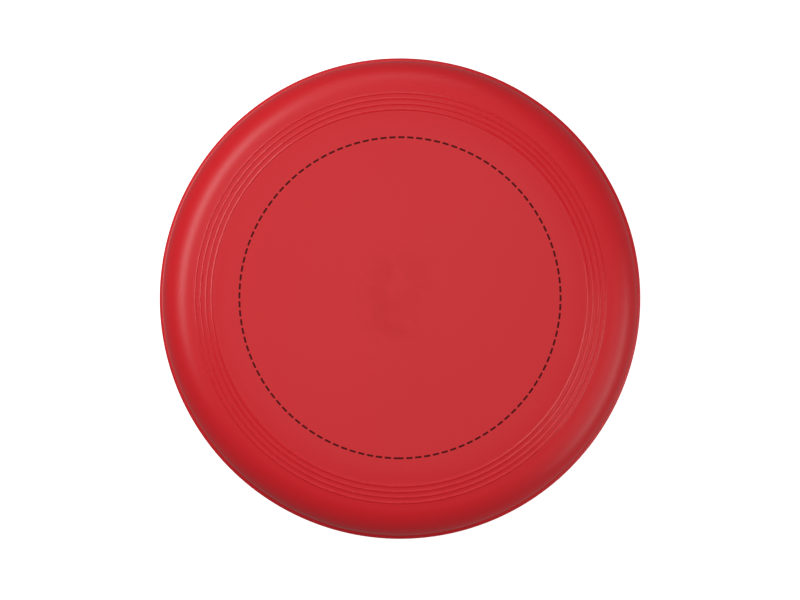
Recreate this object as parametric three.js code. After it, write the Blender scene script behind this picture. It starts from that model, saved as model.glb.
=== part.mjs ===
// A one-piece flying disc for throwing and catching, lying on its rim with its top up.
//
// The disc is a single polypropylene moulding. From its centre outwards the top has a flat panel for
// printing on, a grip zone that falls gently and carries raised rings for the thumb, a round shoulder,
// and a short wall that leans out as it goes down to a projecting lip. The lip is solid, so that the
// rim carries weight, and its flat foot is what the disc rests on. The underside is hollow, with the
// same wall thickness all over, and at its centre is the gate well where the plastic entered the mould.
//
// Millimetres, +Z up. The origin is the centre of the plane that the disc rests on, and its axis is +Z.

import * as THREE from "three";

// Sizes that can each be set by itself.
const discDiameter = 230; // over the lip
const discHeight = 25; // from the rest plane to the print panel
const wallThickness = 1.7;
const gripZoneWidth = 21; // from the print panel's edge to the shoulder, in plan
const gripZoneFall = 1.5; // from the print panel down to the shoulder's start
const shoulderRadius = 15.3;
const wallDraft = THREE.MathUtils.degToRad(1.5); // the lean that lets the moulding leave its mould
const lipProjection = 2; // past the wall's foot
const lipHeight = 3.8; // at the wall, where the lip is highest
const lipSlope = THREE.MathUtils.degToRad(10); // how steeply the lip leaves the wall
const lipNoseSlope = THREE.MathUtils.degToRad(50); // where the lip's top turns into its nose
const lipNoseRadius = 0.95;
const footRounding = 0.8;
const ringCount = 4;
const ringPitch = 2.6;
const ringWidth = 1.5;
const ringHeight = 0.3;
const ringToShoulder = 3.1; // from the outermost ring's crest to the shoulder's start
const gateWellRadius = 5;
const gateWellDepth = 0.5;
const gateWellFlare = 0.6; // how much wider the well is at its mouth than at its floor
const gateNubRadius = 1.2;
const gateNubHeight = 0.35;

// How finely the curves are cut.
const turnSegments = 72;
const shoulderSteps = 12;
const gripZoneSteps = 3;
const roundingSteps = 4;
const lipSteps = 3;
const ringSteps = 4;

// Directions in the section, as the angle of the surface's outward normal from straight up.
const UP = 0;
const OUT = Math.PI / 2;
const DOWN = Math.PI;
const wallFacing = OUT - wallDraft; // the wall's outer face looks a little upwards
const innerWallFacing = wallFacing + Math.PI;

// The grip zone is an arc that leaves the print panel level. Its chord runs at half its final slope.
const shoulderFacing = 2 * Math.atan(gripZoneFall / gripZoneWidth);
const gripZoneRadius = gripZoneWidth / Math.sin(shoulderFacing);

// The shoulder is an arc from the grip zone's slope to the wall's. The wall takes what height is left.
const wallFootRadius = discDiameter / 2 - lipProjection;
const lipNoseReach = lipNoseRadius * (1 - Math.sin(lipNoseSlope));
const lipTopRadius = (lipProjection - lipNoseReach) / (Math.sin(lipNoseSlope) - Math.sin(lipSlope));
const shoulderReach = shoulderRadius * (Math.sin(wallFacing) - Math.sin(shoulderFacing));
const shoulderDrop = shoulderRadius * (Math.cos(shoulderFacing) - Math.cos(wallFacing));
const shoulderTop = discHeight - gripZoneFall;
const wallHeight = shoulderTop - shoulderDrop - lipHeight;
const shoulderStartRadius = wallFootRadius - wallHeight * Math.tan(wallDraft) - shoulderReach;
const panelRadius = shoulderStartRadius - gripZoneWidth;

const gripZoneCentre = new THREE.Vector2(panelRadius, discHeight - gripZoneRadius);
const shoulderCentre = new THREE.Vector2(
  shoulderStartRadius - shoulderRadius * Math.sin(shoulderFacing),
  shoulderTop - shoulderRadius * Math.cos(shoulderFacing),
);

// The section's points are (distance from the axis, height).
function onCircle(centre, radius, facing) {
  return new THREE.Vector2(centre.x + radius * Math.sin(facing), centre.y + radius * Math.cos(facing));
}

function arc(centre, radius, from, to, steps) {
  return Array.from({ length: steps + 1 }, (_, i) =>
    onCircle(centre, radius, from + ((to - from) * i) / steps),
  );
}

// How far from the axis the wall's inner face is at a height. It runs parallel to the outer face.
function innerWallRadius(height) {
  return wallFootRadius + (lipHeight - height) * Math.tan(wallDraft) - wallThickness / Math.cos(wallDraft);
}

// The well sits under the middle of the print panel, with the trimmed nub of the gate on its floor.
function gateWell() {
  const mouth = discHeight - wallThickness;
  const floor = mouth + gateWellDepth;
  return [
    new THREE.Vector2(0, floor - gateNubHeight),
    new THREE.Vector2(gateNubRadius, floor - gateNubHeight),
    new THREE.Vector2(gateNubRadius, floor),
    new THREE.Vector2(gateWellRadius, floor),
    new THREE.Vector2(gateWellRadius + gateWellFlare, mouth),
  ];
}

// From the print panel's underside to the inner wall, one wall thickness inside the top.
function underside() {
  return [
    ...arc(gripZoneCentre, gripZoneRadius - wallThickness, UP, shoulderFacing, gripZoneSteps),
    ...arc(shoulderCentre, shoulderRadius - wallThickness, shoulderFacing, wallFacing, shoulderSteps).slice(1),
  ];
}

// The flat that the disc rests on, rounded at both edges.
function foot() {
  const tangentHeight = footRounding * (1 + Math.cos(innerWallFacing));
  const innerCentre = new THREE.Vector2(
    innerWallRadius(tangentHeight) - footRounding * Math.sin(innerWallFacing),
    footRounding,
  );
  const outerCentre = new THREE.Vector2(discDiameter / 2 - footRounding, footRounding);
  return [
    ...arc(innerCentre, footRounding, innerWallFacing, DOWN, roundingSteps),
    ...arc(outerCentre, footRounding, DOWN, OUT, roundingSteps),
  ];
}

function lip() {
  const top = onCircle(new THREE.Vector2(wallFootRadius, lipHeight), -lipTopRadius, lipSlope);
  const nose = onCircle(top, lipTopRadius - lipNoseRadius, lipNoseSlope);
  return [
    ...arc(nose, lipNoseRadius, OUT, lipNoseSlope, lipSteps),
    ...arc(top, lipTopRadius, lipNoseSlope, lipSlope, lipSteps).slice(1),
  ];
}

function shoulder() {
  return arc(shoulderCentre, shoulderRadius, wallFacing, shoulderFacing, shoulderSteps);
}

// One ring is a smooth swell on the grip zone, highest at its crest and nothing at its edges.
function ring(crestRadius) {
  return Array.from({ length: ringSteps + 1 }, (_, i) => {
    const offset = ringWidth * (0.5 - i / ringSteps);
    const swell = ringHeight * Math.cos((Math.PI * offset) / ringWidth) ** 2;
    const facing = Math.asin((crestRadius + offset - panelRadius) / gripZoneRadius);
    return onCircle(gripZoneCentre, gripZoneRadius + swell, facing);
  });
}

// The rings, from the outermost inwards, and then the plain stretch up to the print panel.
function gripZone() {
  const outermost = shoulderStartRadius - ringToShoulder;
  const rings = Array.from({ length: ringCount }, (_, i) => ring(outermost - i * ringPitch)).flat();
  const innerEdge = outermost - (ringCount - 1) * ringPitch - ringWidth / 2;
  const facing = Math.asin((innerEdge - panelRadius) / gripZoneRadius);
  return [...rings, ...arc(gripZoneCentre, gripZoneRadius, facing, UP, gripZoneSteps).slice(1)];
}

// The section runs from the axis underneath, round the rim, and back to the axis on top.
function disc() {
  const section = [
    ...gateWell(),
    ...underside(),
    ...foot(),
    ...lip(),
    ...shoulder(),
    ...gripZone(),
    new THREE.Vector2(0, discHeight),
  ];
  const plastic = new THREE.MeshStandardMaterial({ color: 0xc42a30, roughness: 0.45, metalness: 0 });
  const mesh = new THREE.Mesh(new THREE.LatheGeometry(section, turnSegments), plastic);
  mesh.name = "disc";
  mesh.rotation.x = Math.PI / 2; // the lathe turns about Y, and the disc's axis is Z
  return mesh;
}

const flyingDisc = new THREE.Group();
flyingDisc.add(disc());

export default flyingDisc;
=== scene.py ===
from math import acos, asin, atan, cos, pi, radians, sin, tan

import bmesh
import bpy
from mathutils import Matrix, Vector


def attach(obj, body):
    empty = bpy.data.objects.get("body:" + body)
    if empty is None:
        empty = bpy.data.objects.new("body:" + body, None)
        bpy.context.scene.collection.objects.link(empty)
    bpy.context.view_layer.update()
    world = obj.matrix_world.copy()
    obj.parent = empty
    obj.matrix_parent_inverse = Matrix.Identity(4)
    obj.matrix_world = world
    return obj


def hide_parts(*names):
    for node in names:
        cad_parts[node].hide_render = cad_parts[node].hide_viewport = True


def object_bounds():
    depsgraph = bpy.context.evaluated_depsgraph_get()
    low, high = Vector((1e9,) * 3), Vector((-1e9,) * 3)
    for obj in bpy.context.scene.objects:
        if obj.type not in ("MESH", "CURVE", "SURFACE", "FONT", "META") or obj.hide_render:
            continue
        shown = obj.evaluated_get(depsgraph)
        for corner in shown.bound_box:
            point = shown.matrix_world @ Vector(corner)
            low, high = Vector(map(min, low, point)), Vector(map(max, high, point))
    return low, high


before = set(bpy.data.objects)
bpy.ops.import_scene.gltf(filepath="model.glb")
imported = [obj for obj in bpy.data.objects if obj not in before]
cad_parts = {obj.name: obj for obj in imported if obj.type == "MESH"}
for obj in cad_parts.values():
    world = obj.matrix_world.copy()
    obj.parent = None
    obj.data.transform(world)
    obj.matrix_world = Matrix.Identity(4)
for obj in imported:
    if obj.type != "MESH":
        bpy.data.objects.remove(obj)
cad_low, cad_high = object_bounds()

# ---- The disc ----
# One injection moulding of red polypropylene: print panel, thumb rings, round shoulder, short wall and
# lip. Its section is drawn as a line, from the axis underneath, round the rim, to the axis on top, and
# spun about the axis. The lip holds the fine line where the mould's halves meet.
MM = 0.001
OUT = pi / 2  # a facing is the angle from straight up to the surface's outward normal
merge_distance = 0.002 * MM
smoothing_angle = radians(35)

disc_radius = cad_high.x
disc_height = cad_high.z
wall_thickness = 1.7 * MM
grip_zone_width = 21 * MM
grip_zone_fall = 1.5 * MM
shoulder_radius = 15.3 * MM
wall_facing = radians(88.5)
lip_projection = 2 * MM
lip_height = 3.8 * MM
lip_slope = radians(10)
lip_nose_slope = radians(50)
lip_nose_radius = 0.95 * MM
foot_rounding = 0.8 * MM
wall_foot_fillet = 0.15 * MM
parting_line_height = 0.05 * MM
parting_line_width = 0.16 * MM
turn_steps = 360

shoulder_facing = 2 * atan(grip_zone_fall / grip_zone_width)
grip_zone_radius = grip_zone_width / sin(shoulder_facing)
shoulder_top = disc_height - grip_zone_fall
wall_foot = disc_radius - lip_projection
lip_nose_reach = lip_nose_radius * (1 - sin(lip_nose_slope))
lip_top_radius = (lip_projection - lip_nose_reach) / (sin(lip_nose_slope) - sin(lip_slope))
wall_top = shoulder_top - shoulder_radius * (cos(shoulder_facing) - cos(wall_facing))
shoulder_reach = shoulder_radius * (sin(wall_facing) - sin(shoulder_facing))
shoulder_start = wall_foot - (wall_top - lip_height) / tan(wall_facing) - shoulder_reach
panel_radius = shoulder_start - grip_zone_width


def on_circle(centre, radius, facing):
    """The point of a circle whose outward normal has that facing."""
    return centre + radius * Vector((sin(facing), cos(facing)))


def section_end():
    """Where the section's last vertex is. It is the only one that is selected."""
    mesh = bmesh.from_edit_mesh(bpy.context.edit_object.data)
    end = next(v.co for v in mesh.verts if v.select)
    return Vector((end.x, end.z))


def draw_to(point):
    """Draws a straight stretch of the section, by extruding its last vertex."""
    move = Vector(point) - section_end()
    bpy.ops.mesh.extrude_region_move(TRANSFORM_OT_translate={"value": (move.x, 0, move.y)})


def draw_arc(centre, turn, steps):
    """Draws a round stretch, by spinning the last vertex. A positive turn goes from up to outwards."""
    bpy.ops.mesh.spin(steps=steps, angle=turn, center=(centre.x, 0, centre.y), axis=(0, -1, 0))


grip_zone_centre = Vector((panel_radius, disc_height - grip_zone_radius))
shoulder_centre = on_circle(Vector((shoulder_start, shoulder_top)), -shoulder_radius, shoulder_facing)

bpy.ops.object.select_all(action="DESELECT")

# The underside starts with the gate: a nub where the plastic came in, trimmed off inside a shallow well.
gate_nub_radius = 1.2 * MM
gate_nub_height = 0.35 * MM
gate_nub_rounding = 0.2 * MM
gate_well_radius = 5 * MM
gate_well_depth = 0.5 * MM
gate_well_flare = 0.6 * MM
underside = disc_height - wall_thickness
well_floor = underside + gate_well_depth
nub_face = well_floor - gate_nub_height

bpy.ops.mesh.primitive_plane_add(size=MM, location=(0, 0, nub_face))
disc = bpy.context.object
disc.name = "disc_moulding"
bpy.ops.object.transform_apply(location=True)
bpy.ops.object.mode_set(mode="EDIT")
bpy.ops.mesh.select_all(action="SELECT")
bpy.ops.mesh.merge(type="CENTER")
draw_to((gate_nub_radius - gate_nub_rounding, nub_face))
draw_arc(Vector((gate_nub_radius - gate_nub_rounding, nub_face + gate_nub_rounding)), -OUT, steps=4)
draw_to((gate_nub_radius, well_floor))
draw_to((gate_well_radius, well_floor))
draw_to((gate_well_radius + gate_well_flare, underside))
draw_to((panel_radius - MM, underside))
draw_to((panel_radius, underside))
draw_arc(grip_zone_centre, shoulder_facing, steps=10)
draw_arc(shoulder_centre, wall_facing - shoulder_facing, steps=28)

# The foot is flat, and the wall comes down to it at its draft.
wall_lean = 1 / tan(wall_facing)
tangent_height = foot_rounding * (1 - cos(wall_facing))
inner_wall = wall_foot + (lip_height - tangent_height) * wall_lean - wall_thickness / sin(wall_facing)
inner_foot_centre = Vector((inner_wall + foot_rounding * sin(wall_facing), foot_rounding))
outer_foot_centre = Vector((disc_radius - foot_rounding, foot_rounding))
draw_to(on_circle(inner_foot_centre, -foot_rounding, wall_facing))
draw_arc(inner_foot_centre, -wall_facing, steps=8)
draw_to(outer_foot_centre - Vector((0, foot_rounding)))
draw_arc(outer_foot_centre, -OUT, steps=8)

lip_top_centre = on_circle(Vector((wall_foot, lip_height)), -lip_top_radius, lip_slope)
lip_nose_centre = on_circle(lip_top_centre, lip_top_radius - lip_nose_radius, lip_nose_slope)
parting_plane = (foot_rounding + lip_nose_centre.y) / 2
draw_to((disc_radius, parting_plane - parting_line_width / 2))
draw_to((disc_radius + parting_line_height, parting_plane))
draw_to((disc_radius, parting_plane + parting_line_width / 2))
draw_to((disc_radius, lip_nose_centre.y))

# The lip's nose and its sloping top are two arcs. A small fillet joins the top to the wall, which is as
# good as upright over the fillet's height.
fillet_distance = lip_top_radius + wall_foot_fillet
fillet_facing = asin((wall_foot + wall_foot_fillet - lip_top_centre.x) / fillet_distance)
fillet_centre = on_circle(lip_top_centre, fillet_distance, fillet_facing)
draw_arc(lip_nose_centre, lip_nose_slope - OUT, steps=6)
draw_arc(lip_top_centre, fillet_facing - lip_nose_slope, steps=8)
draw_arc(fillet_centre, wall_facing - fillet_facing, steps=5)
draw_to(on_circle(shoulder_centre, shoulder_radius, wall_facing))
draw_arc(shoulder_centre, shoulder_facing - wall_facing, steps=40)

# Each thumb ring is a pointed arch with a blunt crown. Its flanks are arcs that the crown's smaller arc
# touches from inside, and they run out into the grip zone through small fillets at the ring's feet.
ring_count = 4
ring_pitch = 2.6 * MM
ring_to_shoulder = 3.1 * MM
ring_height = 0.3 * MM
ring_crown_radius = 0.2 * MM
ring_flank_radius = 2 * MM
ring_foot_radius = 0.15 * MM
crown_edge = radians(14)
crown_distance = grip_zone_radius + ring_height - ring_crown_radius
foot_distance = grip_zone_radius + ring_foot_radius
flank_to_foot = ring_flank_radius + ring_foot_radius

# Half a ring's width, as an angle at the grip zone's centre, and where a flank turns into its fillet. They
# follow, for a ring that stands straight up, from the triangle of the centres of the grip zone, a flank
# and that flank's fillet.
flank_place = on_circle(Vector((0, crown_distance)), ring_crown_radius - ring_flank_radius, crown_edge)
foot_spread = acos(
    (flank_place.length_squared + foot_distance**2 - flank_to_foot**2)
    / (2 * flank_place.length * foot_distance)
)
half_ring = foot_spread + atan(flank_place.x / flank_place.y)
foot_place = on_circle(Vector((0, 0)), foot_distance, half_ring)
flank_edge = asin((foot_place.x - flank_place.x) / flank_to_foot)
ring_width = 2 * half_ring * grip_zone_radius

section_facing = shoulder_facing
for ring in range(ring_count):
    crest_radius = shoulder_start - ring_to_shoulder - ring * ring_pitch
    crest_facing = asin((crest_radius - panel_radius) / grip_zone_radius)
    draw_arc(grip_zone_centre, crest_facing + half_ring - section_facing, steps=4)
    crown_centre = on_circle(grip_zone_centre, crown_distance, crest_facing)
    outer_foot = on_circle(grip_zone_centre, foot_distance, crest_facing + half_ring)
    outer_flank = on_circle(crown_centre, ring_crown_radius - ring_flank_radius, crest_facing + crown_edge)
    inner_flank = on_circle(crown_centre, ring_crown_radius - ring_flank_radius, crest_facing - crown_edge)
    inner_foot = on_circle(grip_zone_centre, foot_distance, crest_facing - half_ring)
    draw_arc(outer_foot, flank_edge - half_ring, steps=3)
    draw_arc(outer_flank, crown_edge - flank_edge, steps=5)
    draw_arc(crown_centre, -2 * crown_edge, steps=4)
    draw_arc(inner_flank, crown_edge - flank_edge, steps=5)
    draw_arc(inner_foot, flank_edge - half_ring, steps=3)
    section_facing = crest_facing - half_ring
draw_arc(grip_zone_centre, -section_facing, steps=8)
draw_to((panel_radius - MM, disc_height))
draw_to((0, disc_height))

bpy.ops.mesh.select_all(action="SELECT")
bpy.ops.mesh.spin(steps=turn_steps, angle=2 * pi, center=(0, 0, 0), axis=(0, 0, 1))
bpy.ops.mesh.select_all(action="SELECT")
bpy.ops.mesh.remove_doubles(threshold=merge_distance)
bpy.ops.mesh.normals_make_consistent(inside=False)
bpy.ops.object.mode_set(mode="OBJECT")
bpy.ops.object.shade_smooth_by_angle(angle=smoothing_angle)

# Eight ejector pins pushed the moulding off its core, and each left a round mark, a touch below the
# underside of the panel.
ejector_mark_count = 8
ejector_mark_radius = 3.5 * MM
ejector_mark_depth = 0.12 * MM
ejector_circle_radius = 60 * MM

bpy.ops.mesh.primitive_cylinder_add(
    vertices=48, radius=ejector_mark_radius, depth=2 * ejector_mark_depth,
    location=(ejector_circle_radius, 0, underside),
)
ejector_pins = bpy.context.object
bpy.ops.object.transform_apply(location=True)
bpy.ops.object.mode_set(mode="EDIT")
bpy.ops.mesh.select_all(action="SELECT")
bpy.ops.mesh.spin(
    steps=ejector_mark_count - 1, dupli=True, angle=2 * pi * (1 - 1 / ejector_mark_count),
    center=(0, 0, 0), axis=(0, 0, 1),
)
bpy.ops.object.mode_set(mode="OBJECT")
bpy.context.view_layer.objects.active = disc
marks = disc.modifiers.new("ejector marks", "BOOLEAN")
marks.object = ejector_pins
bpy.ops.object.modifier_apply(modifier=marks.name)
bpy.data.objects.remove(ejector_pins)
bpy.ops.object.shade_smooth_by_angle(angle=smoothing_angle)


def linear(hex_colour):
    """An sRGB hex colour as linear red, green, blue and full alpha."""
    shares = [int(hex_colour[i : i + 2], 16) / 255 for i in (0, 2, 4)]
    return [s / 12.92 if s <= 0.04045 else ((s + 0.055) / 1.055) ** 2.4 for s in shares] + [1]


def add_node(tree, kind, inputs=None, **settings):
    """Adds a shader node. Each input is a value, or the output of another node to link from."""
    node = tree.nodes.new("ShaderNode" + kind)
    for name, value in settings.items():
        setattr(node, name, value)
    for name, value in (inputs or {}).items():
        if isinstance(value, bpy.types.NodeSocket):
            tree.links.new(value, node.inputs[name])
        else:
            node.inputs[name].default_value = value
    return node


# Pigmented polypropylene from a lightly spark-eroded mould: opaque, satin, with a soft wide highlight.
# The rings were turned into the mould afterwards and thumbs rub them, so they have a smoother gloss.
# Round the gate the melt cooled unevenly, so the middle of the panel is faintly clouded.
polypropylene = bpy.data.materials.new("moulded_polypropylene_red")
polypropylene.use_nodes = True
tree = polypropylene.node_tree
tree.nodes.clear()
red = linear("E11622")
clouded_red = linear("DB1520")
grain_size = 0.35 * MM
grain_depth = 0.002 * MM
blotch_size = 13 * MM
clouded_radius = 27 * MM
evenly_clouded_share = 0.5  # of that radius, before the clouding starts to fade
blotch_edges = (0.45, 0.62)  # the noise's values where a blotch starts and where it is full
satin_roughness = 0.4
clouded_roughness = 0.43
ring_roughness = 0.26
polished_share = 0.7  # of the way from a ring's crest to its edge, where the gloss starts to fade
plastic_ior = 1.49

place = add_node(tree, "TexCoord").outputs["Object"]
flat_place = add_node(tree, "VectorMath", {0: place, 1: (1, 1, 0)}, operation="MULTIPLY").outputs["Vector"]
from_axis = add_node(tree, "VectorMath", {0: flat_place}, operation="LENGTH").outputs["Value"]
near_gate = add_node(
    tree, "MapRange",
    {"Value": from_axis, "From Min": clouded_radius * evenly_clouded_share, "From Max": clouded_radius,
     "To Min": 1.0, "To Max": 0.0},
    interpolation_type="SMOOTHSTEP",
).outputs["Result"]
blotches = add_node(
    tree, "TexNoise",
    {"Vector": place, "Scale": 1 / blotch_size, "Detail": 2.0, "Roughness": 0.5, "Distortion": 0.4},
).outputs["Fac"]
cloud = add_node(
    tree, "MapRange", {"Value": blotches, "From Min": blotch_edges[0], "From Max": blotch_edges[1]},
).outputs["Result"]
cloud_share = add_node(tree, "Math", {0: cloud, 1: near_gate}, operation="MULTIPLY").outputs["Value"]
colour = add_node(
    tree, "Mix", {"Factor": cloud_share, 6: red, 7: clouded_red}, data_type="RGBA",
).outputs[2]

# How much a point is on a ring, from its distance to the nearest crest.
outermost_crest = shoulder_start - ring_to_shoulder
crests_middle = outermost_crest - (ring_count - 1) * ring_pitch / 2
crests_reach = (ring_count - 1) * ring_pitch / 2 + ring_width / 2
from_outermost = add_node(
    tree, "Math", {0: outermost_crest, 1: from_axis}, operation="SUBTRACT",
).outputs["Value"]
from_crest = add_node(
    tree, "Math", {0: from_outermost, 1: ring_pitch / 2}, operation="PINGPONG",
).outputs["Value"]
on_crest = add_node(
    tree, "MapRange",
    {"Value": from_crest, "From Min": ring_width / 2 * polished_share, "From Max": ring_width / 2,
     "To Min": 1.0, "To Max": 0.0},
).outputs["Result"]
among_crests = add_node(
    tree, "Math", {0: from_axis, 1: crests_middle, 2: crests_reach}, operation="COMPARE",
).outputs["Value"]
ring_share = add_node(tree, "Math", {0: on_crest, 1: among_crests}, operation="MULTIPLY").outputs["Value"]

satin = add_node(
    tree, "MapRange", {"Value": cloud_share, "To Min": satin_roughness, "To Max": clouded_roughness},
).outputs["Result"]
roughness = add_node(
    tree, "Mix", {"Factor": ring_share, 2: satin, 3: ring_roughness}, data_type="FLOAT",
).outputs[0]
grain = add_node(
    tree, "TexNoise", {"Vector": place, "Scale": 1 / grain_size, "Detail": 2.0, "Roughness": 0.5},
).outputs["Fac"]
bumped = add_node(
    tree, "Bump", {"Height": grain, "Distance": grain_depth, "Strength": 1.0},
).outputs["Normal"]
shader = add_node(
    tree, "BsdfPrincipled",
    {"Base Color": colour, "Roughness": roughness, "IOR": plastic_ior, "Normal": bumped},
)
add_node(tree, "OutputMaterial", {"Surface": shader.outputs["BSDF"]})

disc.data.materials.clear()
disc.data.materials.append(polypropylene)
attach(disc, "root")
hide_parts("disc")

# ---- The printed guide circle ----
# A dashed circle in dark pad-printing ink on the print panel, which shows how far a print may reach. Ink
# is only a few hundredths of a millimetre thick. The line was drawn clockwise from the near side, and
# where it closes a part of a dash is left over, which runs into the first one.
dash_count = 112
dash_circle_radius = 75.6 * MM
dash_width = 0.9 * MM
dash_pitch = radians(3.203)
dash_turn = radians(2.25)
dash_arc_steps = 4
ink_thickness = 0.03 * MM
ink_bite = 0.01 * MM
line_start = radians(-90)
left_over = 2 * pi - dash_count * dash_pitch


def add_dashes(start, turn, count):
    """Adds dashes that go clockwise round the axis from a start. Each is a closed solid of that turn."""
    bpy.ops.mesh.primitive_plane_add(
        size=1, rotation=(pi / 2, 0, start),
        location=(
            dash_circle_radius * cos(start), dash_circle_radius * sin(start),
            disc_height + ink_thickness / 2 - ink_bite / 2,
        ),
    )
    added = bpy.context.object
    added.scale = (dash_width, ink_thickness + ink_bite, 1)
    bpy.ops.object.transform_apply(location=True, rotation=True, scale=True)
    bpy.ops.object.mode_set(mode="EDIT")
    bpy.ops.mesh.select_all(action="SELECT")
    bpy.ops.mesh.spin(steps=dash_arc_steps, angle=turn, center=(0, 0, 0), axis=(0, 0, 1))
    bpy.ops.mesh.select_all(action="SELECT")
    bpy.ops.mesh.remove_doubles(threshold=merge_distance)
    bpy.ops.mesh.normals_make_consistent(inside=False)
    if count > 1:
        bpy.ops.mesh.spin(
            steps=count - 1, dupli=True, angle=(count - 1) * dash_pitch, center=(0, 0, 0), axis=(0, 0, 1),
        )
    bpy.ops.object.mode_set(mode="OBJECT")
    return added


first_dash = add_dashes(line_start + left_over, left_over + dash_turn, 1)
dashes = add_dashes(line_start - dash_pitch, dash_turn, dash_count - 1)
first_dash.select_set(True)
bpy.ops.object.join()
dashes.name = "print_guide_dashes"

# Two very dark reds, because the plastic shows through the thin film.
ink = bpy.data.materials.new("pad_printing_ink_dark_red")
ink_film_size = 0.6 * MM
ink.use_nodes = True
tree = ink.node_tree
tree.nodes.clear()
place = add_node(tree, "TexCoord").outputs["Object"]
film = add_node(
    tree, "TexNoise", {"Vector": place, "Scale": 1 / ink_film_size, "Detail": 3.0},
).outputs["Fac"]
ink_colour = add_node(
    tree, "Mix", {"Factor": film, 6: linear("4E0204"), 7: linear("5A0305")}, data_type="RGBA",
).outputs[2]
shader = add_node(
    tree, "BsdfPrincipled", {"Base Color": ink_colour, "Roughness": 0.6, "Specular IOR Level": 0.2},
)
add_node(tree, "OutputMaterial", {"Surface": shader.outputs["BSDF"]})
dashes.data.materials.append(ink)
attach(dashes, "root")

# ---- The table ----
# A matt white sheet, lit from within a little, as a light table is, so that it stays pale to its edges. It
# is left out of reflections and of the light on the disc, so that the wall and the lip stay dark.
table_size = 6
gap_under_foot = 0.05 * MM
table_glow = 0.8

bpy.ops.mesh.primitive_plane_add(size=table_size, location=(0, 0, -gap_under_foot))
table = bpy.context.object
table.name = "table"
paper = bpy.data.materials.new("matt_white_sheet")
paper.use_nodes = True
tree = paper.node_tree
tree.nodes.clear()
shader = add_node(
    tree, "BsdfPrincipled",
    {"Base Color": linear("F0F0F0"), "Roughness": 0.9, "Specular IOR Level": 0.0,
     "Emission Color": linear("FFFFFF"), "Emission Strength": table_glow},
)
add_node(tree, "OutputMaterial", {"Surface": shader.outputs["BSDF"]})
table.data.materials.append(paper)
table.visible_glossy = False
table.visible_diffuse = False

# ---- The camera ----
# A long lens, almost straight above the disc.
lens = 135
camera_elevation = radians(89.2)
camera_distance = 1.4356
view_centre = Vector((0, -0.8 * MM, 1.8 * MM))
camera_data = bpy.data.cameras.new("camera")
camera_data.lens = lens
camera = bpy.data.objects.new("camera", camera_data)
bpy.context.scene.collection.objects.link(camera)
back = Vector((0, -cos(camera_elevation), sin(camera_elevation)))
camera.location = view_centre + camera_distance * back
camera.rotation_mode = "QUATERNION"
camera.rotation_quaternion = back.to_track_quat("Z", "Y")
bpy.context.scene.camera = camera


# ---- The lights ----
# A wide key softbox on the left, two over the far side, two weak ones on the right and a small one beside
# the lens. The studio round them gives a weak even light.
def add_softbox(name, azimuth, elevation, distance, width, height, power):
    """Adds a white area light that faces the disc. Azimuth 0 is +X and 90 is +Y, in degrees."""
    data = bpy.data.lights.new(name, "AREA")
    data.shape = "RECTANGLE"
    data.size = width
    data.size_y = height
    data.energy = power
    light = bpy.data.objects.new(name, data)
    bpy.context.scene.collection.objects.link(light)
    a, e = radians(azimuth), radians(elevation)
    towards = Vector((cos(a) * cos(e), sin(a) * cos(e), sin(e)))
    light.location = distance * towards
    light.rotation_mode = "QUATERNION"
    light.rotation_quaternion = towards.to_track_quat("Z", "Y")
    light.visible_camera = False


add_softbox("key_softbox", azimuth=155, elevation=43, distance=1.0, width=0.85, height=0.25, power=4.5)
add_softbox("far_low_softbox", azimuth=95, elevation=25, distance=1.4, width=0.9, height=0.5, power=1.7)
add_softbox("far_high_softbox", azimuth=95, elevation=50, distance=1.4, width=1.4, height=1.0, power=1.7)
add_softbox("right_low_softbox", azimuth=-20, elevation=12, distance=1.0, width=0.8, height=0.3, power=2.0)
add_softbox("right_high_softbox", azimuth=-20, elevation=45, distance=1.0, width=0.6, height=0.6, power=1.0)
add_softbox("lens_softbox", azimuth=90, elevation=88, distance=1.7, width=0.35, height=0.35, power=1.7)

studio_glow = 0.22
world = bpy.data.worlds.new("studio")
world.use_nodes = True
world.node_tree.nodes["Background"].inputs["Color"].default_value = linear("FFFFFF")
world.node_tree.nodes["Background"].inputs["Strength"].default_value = studio_glow
bpy.context.scene.world = world
bpy.context.scene.view_settings.view_transform = "Standard"
